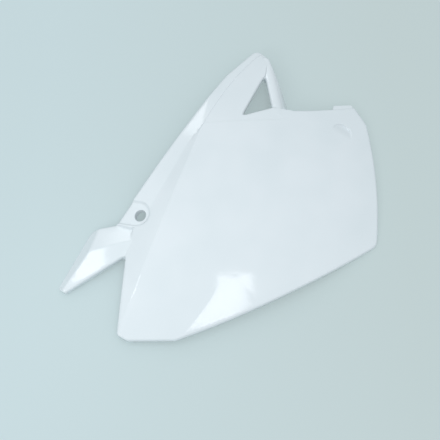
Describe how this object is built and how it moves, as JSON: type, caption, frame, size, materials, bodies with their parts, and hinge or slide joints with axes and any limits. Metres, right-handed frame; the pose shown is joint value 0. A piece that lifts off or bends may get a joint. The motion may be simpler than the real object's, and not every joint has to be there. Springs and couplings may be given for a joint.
{
  "type": "motorbike side panel",
  "caption": "White moulded left-hand side panel with a crowned number face, an open three-sided window, a ridged front spear and two bolt holes.",
  "frame": {"origin": "middle of the bounding box in X and Y, on the surface that the panel lies on", "axes": "outer face up: +Z out of the bike's side, +X to the rear of the bike, +Y up the bike"},
  "size_m": [0.3746, 0.3684, 0.042],
  "materials": {
    "white_plastic": "gloss"
  },
  "bodies": {
    "root": {"side_panel": "white_plastic"}
  },
  "joints": []
}
